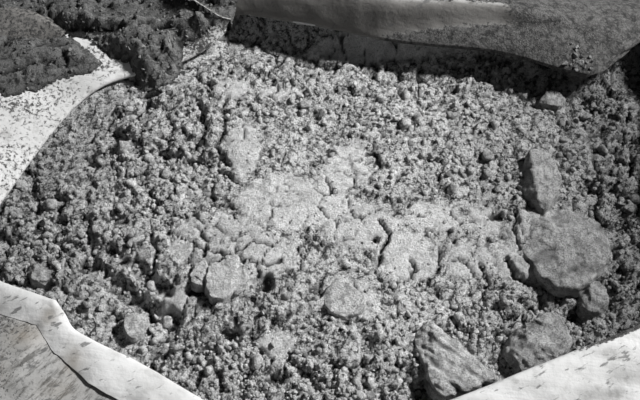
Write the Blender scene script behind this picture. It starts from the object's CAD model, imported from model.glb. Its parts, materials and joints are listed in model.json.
# %% [markdown]
# # An open sack of cement
#
# A 25 kg paper sack lies flat, slit open along its upper face. The lips of the slit are folded
# back, a torn tongue of paper hangs over the cement at the back, and the cement inside is half
# powder and half crumbs, plates and caked lumps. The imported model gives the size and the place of
# every piece, so the first cell loads it and keeps its box.

# %% Load the frame
import itertools
import json
import math

import bmesh
import bpy
import numpy as np
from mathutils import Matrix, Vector
from mathutils.bvhtree import BVHTree

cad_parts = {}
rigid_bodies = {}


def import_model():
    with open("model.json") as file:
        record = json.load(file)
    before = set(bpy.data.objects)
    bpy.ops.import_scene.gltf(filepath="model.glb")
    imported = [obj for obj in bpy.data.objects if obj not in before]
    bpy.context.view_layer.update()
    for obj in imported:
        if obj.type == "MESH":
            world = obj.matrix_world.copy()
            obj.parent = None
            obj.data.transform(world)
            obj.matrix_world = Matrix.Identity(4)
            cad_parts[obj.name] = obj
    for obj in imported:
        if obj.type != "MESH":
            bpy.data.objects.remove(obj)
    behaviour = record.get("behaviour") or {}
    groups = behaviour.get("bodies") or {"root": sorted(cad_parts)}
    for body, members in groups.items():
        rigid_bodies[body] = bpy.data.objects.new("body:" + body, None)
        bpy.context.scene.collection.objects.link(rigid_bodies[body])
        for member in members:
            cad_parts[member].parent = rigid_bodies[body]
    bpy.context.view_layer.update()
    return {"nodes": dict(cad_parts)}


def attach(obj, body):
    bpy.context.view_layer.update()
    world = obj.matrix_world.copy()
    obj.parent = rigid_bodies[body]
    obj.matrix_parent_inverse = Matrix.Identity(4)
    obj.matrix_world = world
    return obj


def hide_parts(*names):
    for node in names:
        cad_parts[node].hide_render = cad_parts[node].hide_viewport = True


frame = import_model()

MM = 0.001
scene = bpy.context.scene
print("nodes:", sorted(frame["nodes"]))

# %% [markdown]
# ## Noise made by hand
#
# Everything in this sack is irregular, and the same irregularity has to come back on every run.
# Two small functions give all of it. `bumps` is gradient noise, smooth hills of one size.
# `cobbles` scatters points and measures the distance to the nearest two, which gives rounded
# clods, and the cracks between plates where the two distances are nearly equal. Both work on
# whole arrays at once, because the powder alone has some eighty thousand points.

# %% Noise functions
JITTER = 0.9  # how far a scattered point may stray in its square, as a share of the square


def lattice(cells, seed):
    """A steady number from 0 to 1 for each whole-numbered place."""
    mixed = np.full(cells.shape[:-1], seed * 1013, dtype=np.int64)
    for axis, prime in enumerate((374761393, 668265263, 1440662683)):
        mixed += cells[..., axis] * prime
    mixed &= 0xFFFFFFFF
    for shift in (13, 15):
        mixed = ((mixed ^ (mixed >> shift)) * 1274126177) & 0xFFFFFFFF
    return (mixed ^ (mixed >> 16)) / 2.0**32


def bumps(points, size, seed):
    """Gradient noise, about -1 to 1, with its hills about `size` apart."""
    scaled = np.asarray(points) / size
    cell = np.floor(scaled).astype(np.int64)
    inner = scaled - cell
    ease = inner**3 * (inner * (inner * 6 - 15) + 10)
    total = np.zeros(len(scaled))
    for corner in itertools.product((0, 1), repeat=3):
        value = lattice(cell + np.array(corner), seed)
        turn = value * 2 * math.pi
        rise = (value * 4099) % 1 * 2 - 1
        flat = np.sqrt(1 - rise * rise)
        slope = np.stack([flat * np.cos(turn), flat * np.sin(turn), rise], 1)
        weight = np.where(corner, ease, 1 - ease).prod(1)
        total += weight * ((inner - corner) * slope).sum(1)
    return total * 1.6


def layered(points, size, count, seed):
    """Several sizes of bumps on top of each other, each half as large as the one before."""
    return sum(bumps(points, size / 2**k, seed + k) / 2**k for k in range(count))


def cobbles(points, size, seed):
    """For scattered plan points about `size` apart: the gaps to the nearest and the next, as
    shares of the size, the nearest one's own number, and a slant across it in its own direction."""
    scaled = points[:, :2] / size
    cell = np.floor(scaled).astype(np.int64)
    nearest = np.full(len(scaled), 9.0)
    second, own, lean = nearest.copy(), np.zeros(len(scaled)), np.zeros(len(scaled))
    for step in itertools.product((-1, 0, 1), repeat=2):
        there = cell + np.array(step)
        key = np.column_stack([there, np.zeros(len(there), np.int64)])
        spot = np.column_stack([lattice(key, seed), lattice(key, seed + 1)])
        apart = there + 0.5 + JITTER * (spot - 0.5) - scaled
        gap = np.linalg.norm(apart, axis=1)
        closer = gap < nearest
        second = np.where(closer, nearest, np.minimum(second, gap))
        number = lattice(key, seed + 2)
        turn = number * 61
        own = np.where(closer, number, own)
        lean = np.where(closer, apart[:, 0] * np.cos(turn) + apart[:, 1] * np.sin(turn), lean)
        nearest = np.minimum(nearest, gap)
    return nearest, second, own, lean


def ramp(value, low, high):
    """0 below low, 1 above high, and a smooth rise between them."""
    share = np.clip((value - low) / (high - low), 0, 1)
    return share * share * (3 - 2 * share)


# %% [markdown]
# ## Camera, light and floor
#
# The camera comes first, because the scale of every crumb is judged through it. It looks down at
# the powder from 60 degrees above the floor, from the sack's long side, with a slightly long
# lens. One lamp stands to the right and a little behind, about half-way up the sky, so that each
# clod has a lit side and a crisp shadow to its left. The world gives the rest a little light.

# %% Camera
TARGET = Vector((-0.030, 0.010, 0.100))
DISTANCE = 0.5333
ELEVATION = math.radians(60)

camera_data = bpy.data.cameras.new("camera")
camera_data.lens = 60
camera_data.sensor_width = 36
camera_data.clip_start = 0.01
camera = bpy.data.objects.new("camera", camera_data)
scene.collection.objects.link(camera)
camera.location = TARGET + DISTANCE * Vector((0, -math.cos(ELEVATION), math.sin(ELEVATION)))
camera.rotation_euler = (TARGET - camera.location).to_track_quat("-Z", "Y").to_euler()
scene.camera = camera
print("camera at", [round(v, 3) for v in camera.location])

# %% Lamp, world and floor
LAMP_DIRECTION = Vector((0.72, 0.27, 0.72)).normalized()
LAMP_DISTANCE = 2.2
LAMP_SIZE = 0.30
LAMP_POWER = 82
WORLD_STRENGTH = 0.065
FLOOR_REACH = 6

lamp_data = bpy.data.lights.new("lamp", "AREA")
lamp_data.shape = "DISK"
lamp_data.size = LAMP_SIZE
lamp_data.energy = LAMP_POWER
lamp = bpy.data.objects.new("lamp", lamp_data)
scene.collection.objects.link(lamp)
lamp.location = TARGET + LAMP_DIRECTION * LAMP_DISTANCE
lamp.rotation_euler = (-LAMP_DIRECTION).to_track_quat("-Z", "Y").to_euler()

world = bpy.data.worlds.new("world")
world.use_nodes = True
world.node_tree.nodes["Background"].inputs["Color"].default_value = (0.97, 0.98, 1.0, 1)
world.node_tree.nodes["Background"].inputs["Strength"].default_value = WORLD_STRENGTH
scene.world = world
scene.view_settings.view_transform = "Standard"

floor_mesh = bpy.data.meshes.new("floor")
floor_corners = [(a * FLOOR_REACH, b * FLOOR_REACH, 0) for a, b in ((-1, -1), (1, -1), (1, 1), (-1, 1))]
floor_mesh.from_pydata(floor_corners, [], [(0, 1, 2, 3)])
floor = bpy.data.objects.new("floor", floor_mesh)
scene.collection.objects.link(floor)
print("lamp at", [round(v, 2) for v in lamp.location], "power", LAMP_POWER)

# %% [markdown]
# ## Helpers for meshes
#
# Most pieces are nets of points worked out in arrays. `add_piece` turns one into a mesh object,
# with any number of named values per point, which the materials read later.

# %% Mesh helpers
def add_piece(name, points, faces, values):
    """A smooth mesh object from arrays, with named values on its points."""
    mesh = bpy.data.meshes.new(name)
    mesh.from_pydata(np.asarray(points).tolist(), [], faces)
    mesh.validate()
    for label, numbers in values.items():
        layer = mesh.attributes.new(label, "FLOAT", "POINT")
        layer.data.foreach_set("value", np.asarray(numbers, np.float32))
    mesh.polygons.foreach_set("use_smooth", [True] * len(mesh.polygons))
    piece = bpy.data.objects.new(name, mesh)
    scene.collection.objects.link(piece)
    return piece


def tree_of(*pieces):
    """The pieces' faces in one search tree, for rays."""
    points, faces = [], []
    for piece in pieces:
        start = len(points)
        points += [v.co.copy() for v in piece.data.vertices]
        faces += [[start + k for k in p.vertices] for p in piece.data.polygons]
    return BVHTree.FromPolygons(points, faces)


def drop(tree, x, y, start=0.3, up=False):
    """The height at which rays up or down through plan places first meet the faces, or nan."""
    way = Vector((0, 0, 1 if up else -1))
    heights = np.full(len(x), np.nan)
    for index, (px, py) in enumerate(zip(x.tolist(), y.tolist())):
        hit = tree.ray_cast(Vector((px, py, start)), way)[0]
        if hit is not None:
            heights[index] = hit.z
    return heights


def triangles_in(piece):
    """How many triangles a piece's faces make."""
    return sum(len(p.vertices) - 2 for p in piece.data.polygons)


def counted(piece):
    """Prints a piece's triangles and returns it."""
    print(f"{piece.name}: {triangles_in(piece)} triangles")
    return piece


# %% [markdown]
# ## The paper sack
#
# The real sack is one sheet of paper, and so is this one. It is cut in thought into some 460
# strips, each of which runs from the free edge of the slit, round the fold, over the upper face
# and down the wall to the floor. The table holds what the lip of the slit does as it goes round:
# where it is, how high it stands, how far its margin is turned over, how wide and how sharp the
# turned margin is. A table like it shapes the CAD sheet at a coarser step, and the two agree to a
# few millimetres.

# %% The lip's table
# x and y in mm from the left end and the front side, or from the right end and the back side where
# negative; rise over the sack's edge; turn of the margin in degrees; its width; the fold's radius;
# how far the upper face swells beyond the lip
LIP = (
    (-148, 205, 14, 176, 24, 3.0, 5), (-146, -147, 14, 174, 20, 3.0, 5), (-139, -109, 15, 168, 14, 2.5, 5),
    (-143, -95, 15, 130, 7, 2.5, 4), (-151, -91, 15, 50, 2, 2.0, 4), (-162, -94, 15, -30, 1.2, 1.5, 5),
    (-173, -104, 15, -30, 1.2, 1.5, 7), (-191, -113, 13, -30, 1.2, 1.5, 10), (-236, -99, 14, -40, 1.2, 1.5, 12),
    (-288, -93, 15, -45, 1.2, 1.5, 12), (260, -81, 15, -45, 1.2, 1.5, 12), (220, -73, 13, -40, 1.5, 1.5, 10),
    (216, -83, 6, 120, 9, 2.0, 5), (196, -98, 3, 176, 48, 1.2, 8), (154, -113, 1, 181, 72, 1.2, 11),
    (132, -138, 0, 181, 80, 1.2, 12), (108, 204, 0, 181, 60, 1.8, 11), (89, 172, 2, 180, 26, 3.5, 5),
    (119, 154, 9, 184, 12, 1.8, 3), (147, 142, 14, 183, 11, 2.2, 2), (157, 129, 10, 184, 11, 1.8, 3),
    (190, 112, 10, 184, 18, 1.8, 3), (219, 95, 10, 184, 24, 1.8, 3), (259, 72, 10, 184, 34, 1.8, 3),
    (-278, 92, 12, 184, 38, 2.4, 3), (-233, 109, 14, 184, 38, 2.6, 3), (-187, 127, 15, 184, 36, 2.8, 3),
    (-142, 147, 13, 182, 30, 4.0, 3), (-146, 172, 13, 178, 26, 3.0, 4),
)
CORNER_POINTS = (2, 14, 18, 27)
PEAK = 19  # the point at the front left where the lip turns sharply
TAB = 7.1  # and the one where a small torn tab hangs from the tongue
TAB_REACH = 3.2  # the tab reaches over so many strips each way
TAB_LENGTH, TAB_TURN = 7 * MM, math.radians(18)  # and is this much longer and turned down so much
STEPS = 16  # strips for each point of the table
BACK = 0.07  # a lip beyond this y belongs to the back of the slit
LENGTH, WIDTH = 600 * MM, 390 * MM
EDGE_HEIGHT, WIDEST_HEIGHT = 97 * MM, 45 * MM
CORNER_RADIUS, CORNER_BONUS = 34 * MM, 40 * MM
SHOULDER = (52 * MM, 13 * MM)  # the upper edge lies this far in from a long side and from an end
FOOT = (26 * MM, 7 * MM)  # and the floor line this far
FAN_SHARE = 0.25
PAPER = 0.6 * MM


def lip_points():
    """The table as an array in metres and radians."""
    rows = []
    for x, y, rise, turn, width, radius, swell in LIP:
        place = [x * MM - math.copysign(LENGTH / 2, x), y * MM - math.copysign(WIDTH / 2, y)]
        rows.append(place + [EDGE_HEIGHT + rise * MM, width * MM, radius * MM, swell * MM, math.radians(turn)])
    return np.array(rows)


def round_blur(values, reach):
    """Smooths columns of values round a closed line, by a bell of `reach` steps."""
    offsets = np.arange(-3 * reach, 3 * reach + 1)
    weights = np.exp(-0.5 * (offsets / reach) ** 2)
    return sum(np.roll(values, k, axis=0) * w for k, w in zip(offsets, weights / weights.sum()))


def lip_line():
    """The table at every strip: a smooth curve in plan, and smoothed straight ratios otherwise."""
    rows = lip_points()
    position = np.arange(len(rows) * STEPS) / STEPS
    first = np.floor(position).astype(int)
    t = (position - first)[:, None]
    before, start, end, after = (rows[(first + k) % len(rows)] for k in (-1, 0, 1, 2))
    curve = 0.5 * (
        2 * start + (end - before) * t + (2 * before - 5 * start + 4 * end - after) * t**2
        + (3 * start - before - 3 * end + after) * t**3
    )
    straight = start + (end - start) * t
    from_peak = np.abs(np.arange(len(curve)) - PEAK * STEPS)[:, None]
    sharp = np.exp(-((from_peak / (0.8 * STEPS)) ** 2))
    place = curve[:, :2] * (1 - sharp) + straight[:, :2] * sharp
    rest = round_blur(straight[:, 2:], 5)
    on_tab = np.clip(1 - np.abs(np.arange(len(curve)) - TAB * STEPS) / TAB_REACH, 0, 1)
    rest[:, 1] += TAB_LENGTH * on_tab
    rest[:, 4] -= TAB_TURN * on_tab
    return np.hstack([place, rest])


lip = lip_line()
COUNT = len(lip)
along = np.roll(lip[:, :2], -STEPS // 3, 0) - np.roll(lip[:, :2], STEPS // 3, 0)
along = along / np.linalg.norm(along, axis=1, keepdims=True)
outward = np.column_stack([along[:, 1], -along[:, 0]])
outward = round_blur(outward, 4)
outward /= np.linalg.norm(outward, axis=1, keepdims=True)
lip_length = np.linalg.norm(np.diff(lip[:, :2], axis=0), axis=1).sum()
print("strips:", COUNT, "round a lip of", round(float(lip_length), 3), "m")

# %% Where each strip crosses the sack's edge
def side_lengths(side):
    """What half a corner counts for along the edge, and the straight run between two corners."""
    whole = LENGTH if side % 2 == 0 else WIDTH
    return (CORNER_RADIUS + CORNER_BONUS) * math.pi / 4, whole - 2 * CORNER_RADIUS


def rim_share(side, place, first, last):
    """How far along its side a strip comes out: straight across in the middle, fanned at the ends."""
    axis = side % 2
    run = (place[axis] - first[axis]) / (last[axis] - first[axis])
    if axis:
        return run
    half_arc, straight = side_lengths(side)
    ends = []
    for share in (FAN_SHARE, 1 - FAN_SHARE):
        across = first[0] + (last[0] - first[0]) * share
        from_corner = straight / 2 + across * (1 if side == 2 else -1)
        ends.append((half_arc + from_corner) / (straight + 2 * half_arc))
    if run < FAN_SHARE:
        return ends[0] * run / FAN_SHARE
    if run > 1 - FAN_SHARE:
        return 1 - (1 - ends[1]) * (1 - run) / FAN_SHARE
    return ends[0] + (ends[1] - ends[0]) * (run - FAN_SHARE) / (1 - 2 * FAN_SHARE)


def rim_point(side, share, insets):
    """A plan point of the sack's rounded outline, drawn in from its long sides and its ends."""
    half_length, half_width = LENGTH / 2 - insets[1], WIDTH / 2 - insets[0]
    signs = ((1, 1), (-1, 1), (-1, -1), (1, -1))
    centres = [Vector((a * (half_length - CORNER_RADIUS), b * (half_width - CORNER_RADIUS))) for a, b in signs]
    start, end = centres[side], centres[(side + 1) % 4]
    facing = math.radians(90 * (side + 1))
    half_arc, straight = side_lengths(side)
    reach = share * (straight + 2 * half_arc)
    if reach < half_arc:
        angle, corner = facing - math.pi / 4 * (1 - reach / half_arc), start
    elif reach > half_arc + straight:
        angle, corner = facing + math.pi / 4 * (reach - half_arc - straight) / half_arc, end
    else:
        angle, corner = facing, start.lerp(end, (reach - half_arc) / straight)
    return corner + CORNER_RADIUS * Vector((math.cos(angle), math.sin(angle)))


strip_sides = [(0, 0.0)] * COUNT
for side, point in enumerate(CORNER_POINTS):
    first, last = point * STEPS, CORNER_POINTS[(side + 1) % 4] * STEPS
    furthest = 0.0
    for index in range(first, first + (last - first) % COUNT):
        share = rim_share(side, lip[index % COUNT], lip[first], lip[last])
        furthest = max(furthest, share)
        strip_sides[index % COUNT] = (side, min(1.0, furthest))
edge, widest, foot = (
    np.array([rim_point(side, share, insets) for side, share in strip_sides])
    for insets in (SHOULDER, (0, 0), FOOT)
)
print("edge runs", np.ptp(edge, axis=0).round(3), "widest", np.ptp(widest, axis=0).round(3))

# %% [markdown]
# The tongue at the back is not flat. A step crosses it: next to the slit lies a dusty shelf, which
# is narrow on the left and wide on the right, and behind it the paper rises up to 9 mm in one
# smooth dark face. The step is added to the upper face by distance from the lip. Everything else
# about the sheet is creasing, in three sizes. A margin that is turned right over lies on the sheet
# below it, so both are moved up and down together and never cross.

# %% Shape the sheet
MARGIN_RINGS, FOLD_RINGS, UPPER_RINGS, WALL_RINGS = 14, 7, 26, 20
TONGUE = (-0.085, 0.118)  # the tongue's ends, along x
BAND_X = (-0.090, -0.030, 0.000, 0.040, 0.075, 0.100, 0.120)  # along the tongue, from left to right:
SHELF = (-4, -4, 0.0, 7.0, 13.0, 20.0, 22.0)  # the shelf's width in mm
BAND_WIDTH = (20, 18, 12, 8.5, 7.5, 4, 3)  # the smooth band's width in mm
BAND_HEIGHT = (6, 8, 9, 8, 6, 2, 0)  # and how far it rises in mm


def tongue_bands(x):
    """The shelf's width, the band's width and its rise, in metres, for places along x."""
    return [np.interp(x, BAND_X, values) * MM for values in (SHELF, BAND_WIDTH, BAND_HEIGHT)]


def upper_face(share):
    """Points of the upper face, from the lip at 0 to the sack's edge at 1; share may be an array."""
    share = np.broadcast_to(share, COUNT)
    place = lip[:, :2] + (edge - lip[:, :2]) * share[:, None]
    fall = (lip[:, 2] - EDGE_HEIGHT) * share**1.5
    height = lip[:, 2] - fall + lip[:, 5] * 4 * share * (1 - share)
    distance = np.linalg.norm(place - lip[:, :2], axis=1)
    x = lip[:, 0]
    on_tongue = ramp(x, TONGUE[0], TONGUE[0] + 0.02) * ramp(-x, -TONGUE[1] - 0.015, -TONGUE[1] + 0.02)
    on_tongue = on_tongue * (lip[:, 1] > BACK)
    shelf, band, step_height = tongue_bands(x)
    rise = ramp(distance, shelf, shelf + band) * (1 - ramp(share, 0.72, 0.98))
    return np.column_stack([place, height + on_tongue * step_height * rise])


first_step = upper_face(1 / UPPER_RINGS) - upper_face(0.0)
lean = np.arctan2(first_step[:, 2], np.linalg.norm(first_step[:, :2], axis=1)) + math.radians(6)
lean = lean * ramp(-lip[:, 6], 0.0, math.radians(20))  # a margin that hangs carries on the face's slope


def margin(share, hem):
    """Points of the turned margin, from the fold at 0 to the free edge at 1."""
    angle, way = np.abs(lip[:, 6]) + lean, np.where(lip[:, 6] > 0, 1, -1)
    reach = (lip[:, 3] + hem) * share
    out = -lip[:, 4] * (np.sin(angle) - np.sin(lean)) - reach * np.cos(angle)
    up = way * (lip[:, 4] * (np.cos(lean) - np.cos(angle)) + reach * np.sin(angle))
    span = np.linalg.norm(edge - lip[:, :2], axis=1)
    rest = upper_face(np.clip(out / span, 0, 1))[:, 2] - lip[:, 2]
    return np.column_stack([lip[:, :2] + outward * out[:, None], lip[:, 2] + up + rest])


def fold(share):
    """Points of the bend between the lip at 0 and the turned margin at 1."""
    angle, way = np.abs(lip[:, 6]) * share + lean, np.where(lip[:, 6] > 0, 1, -1)
    place = lip[:, :2] - outward * (lip[:, 4] * (np.sin(angle) - np.sin(lean)))[:, None]
    return np.column_stack([place, lip[:, 2] + way * lip[:, 4] * (np.cos(lean) - np.cos(angle))])


def wall(share):
    """Points of the wall, from the upper edge at 0 to the floor line at 1."""
    low, angle = PAPER / 2, math.pi * share
    if share < 0.5:
        out, up = math.sin(angle) ** 0.9, math.cos(angle) ** 0.9
        height = WIDEST_HEIGHT + (EDGE_HEIGHT - WIDEST_HEIGHT) * up
        return np.column_stack([edge + (widest - edge) * out, np.full(COUNT, height)])
    angle -= math.pi / 2
    out = 1 - math.cos(angle)
    height = WIDEST_HEIGHT + (low - WIDEST_HEIGHT) * math.sin(angle)
    return np.column_stack([widest + (foot - widest) * out, np.full(COUNT, height)])


lip3 = np.column_stack([lip[:, :2], lip[:, 2]])
hem = (2.2 * bumps(lip3, 17 * MM, 5) + 0.9 * bumps(lip3, 5 * MM, 6)) * MM
hem = hem * np.clip(lip[:, 3] / 0.020, 0.1, 1)
rings, flip = [], []  # the flip is 1 where the sheet faces up, -1 where it is turned over
MARGIN_SHARES = [1.0, *np.linspace(0.988, 1 / MARGIN_RINGS, MARGIN_RINGS - 1)]
for share in MARGIN_SHARES:
    rings.append(margin(share, hem))
    flip.append(np.cos(np.abs(lip[:, 6])))
for step in range(FOLD_RINGS, 0, -1):
    rings.append(fold(step / FOLD_RINGS))
    flip.append(np.cos(np.abs(lip[:, 6]) * step / FOLD_RINGS))
for step in range(UPPER_RINGS):
    rings.append(upper_face(step / UPPER_RINGS))
    flip.append(np.ones(COUNT))
for step in range(WALL_RINGS + 1):
    rings.append(wall(step / WALL_RINGS))
    flip.append(np.full(COUNT, 1.0))
centre = np.array([0, 0, PAPER / 2])
for share in (0.85, 0.6, 0.3):
    rings.append(centre + (rings[MARGIN_RINGS + FOLD_RINGS + UPPER_RINGS + WALL_RINGS] - centre) * share)
    flip.append(np.zeros(COUNT))
net, flip = np.array(rings), np.array(flip)
LEVELS = len(net)
print("net of", LEVELS, "rings by", COUNT, "strips")

# %% Crease the sheet
def net_faces(levels, count, start=0, reverse=False):
    """Quads between neighbouring rings of a closed net."""
    a = np.arange(levels - 1)[:, None] * count + np.arange(count)[None, :] + start
    b = np.arange(levels - 1)[:, None] * count + (np.arange(count)[None, :] + 1) % count + start
    quads = np.stack([a, a + count, b + count, b], -1).reshape(-1, 4)
    return (quads[:, ::-1] if reverse else quads).tolist()


def facing(net):
    """The outward direction at each point of the net."""
    down = np.gradient(net, axis=0)
    sideways = np.roll(net, -1, 1) - np.roll(net, 1, 1)
    out = np.cross(down, sideways)
    return out / np.maximum(np.linalg.norm(out, axis=2, keepdims=True), 1e-12)


def creases(points):
    """Heights of the paper's creasing, in metres, for points of the sheet."""
    flat = points * np.array([1, 1, 0.4])
    swell = 1.5 * bumps(flat, 46 * MM, 11) + 0.8 * bumps(flat, 19 * MM, 12)
    ridge = 1 - np.abs(bumps(flat + 0.01 * bumps(flat, 30 * MM, 9)[:, None], 21 * MM, 13)) * 2
    fine = 0.35 * bumps(flat, 7 * MM, 14) + 0.16 * bumps(flat, 3.5 * MM, 15)
    return (swell + 0.8 * np.maximum(ridge, 0) ** 2 + fine) * MM


level = np.arange(LEVELS)[:, None]
wall_start = MARGIN_RINGS + FOLD_RINGS + UPPER_RINGS
wall_share = np.clip((level - wall_start) / WALL_RINGS, 0, 1)
calm = np.where(level > wall_start + WALL_RINGS - 5, 0.0, 1.0) * np.ones((1, COUNT))
calm = np.where(level > wall_start, calm * (1 - 0.5 * wall_share), calm)
near_lip = np.linalg.norm(net[:, :, :2] - lip[None, :, :2], axis=2) / 0.012
calm = calm * np.clip(0.35 + 0.65 * near_lip, 0, 1)
flat_points = net.reshape(-1, 3)
relief = creases(flat_points).reshape(LEVELS, COUNT)
from_peak = np.abs(np.arange(COUNT) - PEAK * STEPS)[None, :]
on_cuff = (1 - np.abs(level - 10) / 14).clip(0, 1)
relief = relief + (3.6 * np.exp(-from_peak / 2.2) - 1.8 * np.exp(-(((from_peak - 8) / 4.0) ** 2))) * MM * on_cuff
middle = net + facing(net) * (relief * calm * flip)[:, :, None]

face_start = MARGIN_RINGS + FOLD_RINGS
upper_rings = middle[face_start : wall_start + 3]
upper_tree = BVHTree.FromPolygons(upper_rings.reshape(-1, 3).tolist(), net_faces(len(upper_rings), COUNT))
turned = np.abs(lip[:, 6]) > math.radians(165)
lift = 0.25 + 1.1 * np.exp(-(((np.arange(COUNT) - (PEAK + 1.7) * STEPS) / 8) ** 2))
for step, share in enumerate(MARGIN_SHARES):
    below = drop(upper_tree, middle[step, :, 0], middle[step, :, 1], 0.3)
    rise = 2 * lip[:, 4] * (1 - share**1.4) + (lift * MM) * share**1.4
    laid = turned & ~np.isnan(below)
    middle[step, laid, 2] = (below + rise)[laid]
print("creases from", (relief.min() / MM).round(2), "to", (relief.max() / MM).round(2), "mm")

# %% Give the sheet its two faces
half_paper = facing(middle) * PAPER / 2
layers = [middle + half_paper, middle - half_paper]
layers[0][:, :, 2] = np.maximum(layers[0][:, :, 2], 0)
points = np.concatenate([layer.reshape(-1, 3) for layer in layers] + [[[0, 0, 0], [0, 0, PAPER]]])
size = LEVELS * COUNT
faces = net_faces(LEVELS, COUNT) + net_faces(LEVELS, COUNT, size, reverse=True)
for index in range(COUNT):
    after = (index + 1) % COUNT
    faces.append([index, after, size + after, size + index])
    last = (LEVELS - 1) * COUNT
    faces.append([last + index, 2 * size, last + after])
    faces.append([size + last + index, size + last + after, 2 * size + 1])
sheet_place = np.concatenate([middle.reshape(-1, 3)] * 2 + [[centre, centre]])
ring_number = np.concatenate([np.repeat(np.arange(LEVELS), COUNT)] * 2 + [[LEVELS, LEVELS]])
inside = np.concatenate([np.zeros(size), np.ones(size), [0, 1]])


def around(places):
    """How near each point of the sheet is to any of the listed places, each of which has an x and a
    y in mm, a reach along x and along y, and a strength."""
    found = np.zeros(len(sheet_place))
    for x, y, reach_x, reach_y, strength in places:
        gap = ((sheet_place[:, 0] / MM - x) / reach_x) ** 2 + ((sheet_place[:, 1] / MM - y) / reach_y) ** 2
        found = np.maximum(found, strength * np.exp(-gap))
    return found


strip = np.tile(np.arange(COUNT), LEVELS)
strip = np.concatenate([strip, strip, [0, 0]])
from_lip = np.linalg.norm(sheet_place[:, :2] - lip[strip, :2], axis=1)
upper = (ring_number >= MARGIN_RINGS + FOLD_RINGS) * (inside < 0.5) * 1.0
shelf, band, _ = tongue_bands(lip[strip, 0])
lip_x = lip[strip, 0]
at_tongue = ramp(lip_x, TONGUE[0] - 0.012, TONGUE[0] + 0.004) * (1 - ramp(lip_x, 0.142, 0.152))
ragged_place = sheet_place + 7 * MM * bumps(sheet_place, 16 * MM, 91)[:, None]
ragged_place = ragged_place + 4 * MM * bumps(sheet_place, 5 * MM, 92)[:, None]
settled = (1 - ramp(ragged_place[:, 1], 0.136, 0.176)) * (1 - ramp(ragged_place[:, 0], 0.148, 0.190))
at_tongue *= (lip[strip, 1] > BACK) * (inside < 0.5) * settled
soil = np.maximum(ramp(from_lip, shelf - 1.5 * MM, shelf + 1 * MM), 1 - ramp(lip_x, -0.010, 0.030))
soil = soil * (1 - ramp(from_lip, shelf + band - 1 * MM, shelf + band + 1 * MM))
on_margin = 1 - ramp(lip_x, 0.0, 0.03)
soil = at_tongue * np.where(upper > 0, soil * (1 - ramp(lip_x, 0.075, 0.100)), on_margin)
beyond = ramp(from_lip, shelf + band, shelf + band + 3 * MM)
beyond = np.maximum(beyond, ramp(lip_x, 0.060, 0.085))
rim = (ring_number <= 1) * (lip[strip, 1] > BACK) * (np.abs(lip[strip, 6]) < 1.0)
inside = inside * (1 - rim)
soil = np.maximum(soil, rim)
on_shelf = (1 - ramp(from_lip, shelf - 1 * MM, shelf + 1.5 * MM)) * ramp(lip_x, -0.015, 0.020)
dusty = at_tongue * np.maximum(on_shelf, beyond)
fold_strip = (ring_number >= MARGIN_RINGS + 1) & (ring_number <= MARGIN_RINGS + FOLD_RINGS + 2)
dusty = np.maximum(dusty, 0.9 * fold_strip * ramp(sheet_place[:, 0], 0.078, 0.100) * (sheet_place[:, 1] < -0.03))
dusty = np.maximum(dusty, inside * around((
    (-150, 92, 16, 9, 0.42), (-185, 64, 26, 12, 0.40), (-168, 74, 16, 9, 0.37), (-165, 50, 12, 16, 0.33),
    (-186, 30, 14, 24, 0.36), (-95, 104, 14, 9, 0.66), (-82, 120, 13, 10, 1.0))))
dusty = np.maximum(dusty, (1 - inside) * around((
    (-90, 126, 9, 8, 1.0), (-186, -62, 26, 9, 0.42), (-182, -90, 20, 26, 0.33), (-160, -112, 14, 26, 0.26))))
smear = inside * around((
    (78, -106, 15, 5, 1.0), (93, -97, 12, 4, 1.0), (107, -89, 12, 4, 1.0), (124, -84, 14, 6, 1.0),
    (60, -93, 10, 3, 0.55), (38, -101, 9, 3, 0.6), (100, -78, 10, 2.5, 0.6), (-168, 78, 24, 10, 0.5),
    (-185, 50, 26, 24, 0.5),
    (-136, -84, 5, 8, 0.45), (-153, -57, 3.0, 2.5, 0.9), (-156, -61, 4.5, 2.5, 0.6), (-141, -78, 3, 7, 0.5),
    (-178, -52, 12, 3, 0.5), (-112, -97, 10, 4, 0.3), (20, -112, 16, 5, 0.5)))
stain = around((
    (-164, -67, 8, 5, 0.9), (-141, -80, 5, 7, 0.8), (-154, -59, 4, 4, 0.9), (-146, -92, 10, 5, 0.5),
    (-180, -84, 9, 7, 0.5)))
clump = upper * around((
    (107, 88, 9, 9, 1.0), (4, 122, 20, 6, 1.0), (30, 121, 20, 6, 1.0), (57, 120, 14, 4.5, 0.9), (-20, 125, 10, 3, 0.8)))
clump = np.clip(clump * 1.5 - 0.5, 0, 1)
sack = add_piece("cement_sack", points, faces, {
    "inside": inside, "soil": soil, "dusty": dusty, "smear": smear, "stain": stain, "clump": clump})
counted(sack)

# %% [markdown]
# ## The powder
#
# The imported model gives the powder's general surface, as a net of 10 mm triangles with a hollow
# for each lump. That surface is read on a 3 mm grid with rays, the hollows are filled again, and
# the whole is smoothed. On it comes the fine relief, on a grid of about 1 mm where the camera
# looks: rounded clods in three sizes where the powder is crumbly, and plates with cracks between
# them where it has caked. Under the paper the grid is held a millimetre below the sheet.

# %% The powder's general surface
BASE_STEP = 3 * MM
LUMPS = [name for name in sorted(frame["nodes"]) if name.startswith(("lump_", "plate_"))]
base_x = np.arange(-0.243, 0.222, BASE_STEP)
base_y = np.arange(-0.150, 0.172, BASE_STEP)
base_shape = (len(base_y), len(base_x))
grid_x, grid_y = (g.ravel() for g in np.meshgrid(base_x, base_y))
fill_tree = tree_of(frame["nodes"]["cement_fill"])
lump_tree = tree_of(*[frame["nodes"][name] for name in LUMPS])
base = drop(fill_tree, grid_x, grid_y).reshape(base_shape)
under_lump = ~np.isnan(drop(lump_tree, grid_x, grid_y).reshape(base_shape))


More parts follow.
